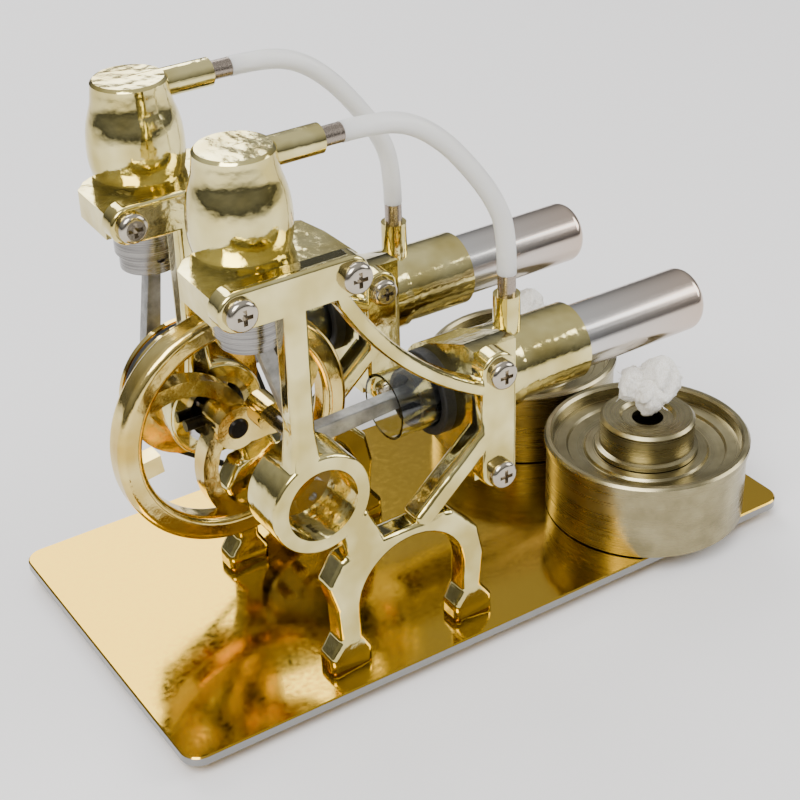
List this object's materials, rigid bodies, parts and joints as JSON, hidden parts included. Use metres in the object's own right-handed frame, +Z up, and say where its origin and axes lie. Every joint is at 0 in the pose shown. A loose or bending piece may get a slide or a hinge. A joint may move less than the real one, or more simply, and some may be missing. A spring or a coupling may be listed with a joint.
{
  "type": "stirling engine model",
  "caption": "Bench hot-air engine: cast frames on a plate, shared crank and flywheel, upright power cylinders, level heated cylinders, air hoses, spirit lamps and belt-driven generator.",
  "frame": {"origin": "middle of the base plate at the undersides of the feet", "axes": "+X from the flywheel towards the hot caps, +Y from the front engine unit to the rear one, +Z up"},
  "size_m": [0.15, 0.091, 0.1117],
  "materials": {
    "frame_gold": "bright plated casting",
    "wheel_gold": "bright gold plating",
    "plate_gold": "mirror polished sheet",
    "stainless": "brushed along the length",
    "liner_steel": "turned",
    "dark_steel": "ground",
    "bearing_steel": "polished",
    "motor_can": "drawn, plated",
    "screw_nickel": "nickel plated",
    "ferrule_nickel": "dull nickel",
    "cast_zinc": "sand grained cast",
    "graphite": "turned, dark",
    "glass": "clear",
    "silicone": "milky translucent",
    "black_rubber": "matte",
    "black_oxide": "black oxide",
    "lamp_tin": "satin tinned, bright rim",
    "cotton": "twisted cotton",
    "pulley_plastic": "moulded",
    "terminal_brass": "tinned"
  },
  "bodies": {
    "root": {"base_plate": "plate_gold", "base_feet": "black_rubber", "frame_foot_screws": "screw_nickel", "bearing_outer_rings": "bearing_steel", "generator_can": "motor_can", "generator_terminals": "terminal_brass", "drive_belt": "black_rubber", "front_frame": "frame_gold", "front_power_head": "frame_gold", "front_power_liner": "liner_steel", "front_hot_housing": "frame_gold", "front_hot_cap": "stainless", "front_glass_tube": "glass", "front_seal_ring": "black_rubber", "front_tube_barbs": "ferrule_nickel", "front_air_tube": "silicone", "front_frame_screws": "screw_nickel", "rear_frame": "frame_gold", "rear_power_head": "frame_gold", "rear_power_liner": "liner_steel", "rear_hot_housing": "frame_gold", "rear_hot_cap": "stainless", "rear_glass_tube": "glass", "rear_seal_ring": "black_rubber", "rear_tube_barbs": "ferrule_nickel", "rear_air_tube": "silicone", "rear_frame_screws": "screw_nickel"},
    "crank": {"crank_shaft": "black_oxide", "flywheel": "wheel_gold", "crank_set_screws": "black_oxide", "front_crank_pin": "dark_steel", "rear_crank_disc": "wheel_gold", "rear_crank_pin": "dark_steel", "bearing_inner_rings": "bearing_steel", "bearing_balls": "bearing_steel"},
    "generator_rotor": {"generator_shaft": "bearing_steel", "generator_pulley": "pulley_plastic"},
    "front_power_piston_body": {"front_power_piston": "liner_steel", "front_power_wrist_pin": "dark_steel"},
    "front_hot_piston_body": {"front_hot_piston": "graphite", "front_hot_wrist_pin": "dark_steel"},
    "front_power_rod_body": {"front_power_rod": "cast_zinc", "front_power_rod_bush": "dark_steel"},
    "front_hot_rod_body": {"front_hot_rod": "cast_zinc", "front_hot_rod_bush": "dark_steel"},
    "front_lamp": {"front_lamp_can": "lamp_tin", "front_lamp_lid": "lamp_tin", "front_wick": "cotton"},
    "rear_power_piston_body": {"rear_power_piston": "liner_steel", "rear_power_wrist_pin": "dark_steel"},
    "rear_hot_piston_body": {"rear_hot_piston": "graphite", "rear_hot_wrist_pin": "dark_steel"},
    "rear_power_rod_body": {"rear_power_rod": "cast_zinc", "rear_power_rod_bush": "dark_steel"},
    "rear_hot_rod_body": {"rear_hot_rod": "cast_zinc", "rear_hot_rod_bush": "dark_steel"},
    "rear_lamp": {"rear_lamp_can": "lamp_tin", "rear_lamp_lid": "lamp_tin", "rear_wick": "cotton"}
  },
  "joints": [
    {"name": "crank_spin", "type": "hinge", "parent": "root", "child": "crank", "pos_m": [-0.0398, 0.013, 0.04575], "axis": [0, 1, 0], "continuous": true},
    {"name": "generator_spin", "type": "hinge", "parent": "root", "child": "generator_rotor", "pos_m": [-0.0204, 0.018, 0.01785], "axis": [0, 1, 0], "continuous": true},
    {"name": "front_power_stroke", "type": "slide", "parent": "root", "child": "front_power_piston_body", "axis": [0, 0, 1], "range_m": [-0.00684, 0.00721]},
    {"name": "front_hot_stroke", "type": "slide", "parent": "root", "child": "front_hot_piston_body", "axis": [1, 0, 0], "range_m": [-0.01403, 0.00003]},
    {"name": "front_power_rod_swing", "type": "hinge", "parent": "front_power_piston_body", "child": "front_power_rod_body", "pos_m": [-0.0426, -0.0167, 0.07694], "axis": [0, 1, 0], "range_deg": [-0.2, 25.6]},
    {"name": "front_hot_rod_swing", "type": "hinge", "parent": "front_hot_piston_body", "child": "front_hot_rod_body", "pos_m": [-0.00495, -0.0133, 0.04855], "axis": [0, 1, 0], "range_deg": [-17.2, 11.9]},
    {"name": "front_lamp_slide", "type": "slide", "parent": "root", "child": "front_lamp", "axis": [0, -1, 0], "range_m": [0, 0.015]},
    {"name": "rear_power_stroke", "type": "slide", "parent": "root", "child": "rear_power_piston_body", "axis": [0, 0, 1], "range_m": [-0.00567, 0.00838]},
    {"name": "rear_hot_stroke", "type": "slide", "parent": "root", "child": "rear_hot_piston_body", "axis": [1, 0, 0], "range_m": [0, 0.01407]},
    {"name": "rear_power_rod_swing", "type": "hinge", "parent": "rear_power_piston_body", "child": "rear_power_rod_body", "pos_m": [-0.0426, 0.0253, 0.07577], "axis": [0, 1, 0], "range_deg": [-25.6, 0.2]},
    {"name": "rear_hot_rod_swing", "type": "hinge", "parent": "rear_hot_piston_body", "child": "rear_hot_rod_body", "pos_m": [-0.01898, 0.0287, 0.04855], "axis": [0, 1, 0], "range_deg": [-12.2, 16.9]},
    {"name": "rear_lamp_slide", "type": "slide", "parent": "root", "child": "rear_lamp", "axis": [0, 1, 0], "range_m": [0, 0.015]}
  ],
  "couplings": [
    {"joint": "generator_spin", "follows": "crank_spin", "ratio": 4.3333}
  ]
}
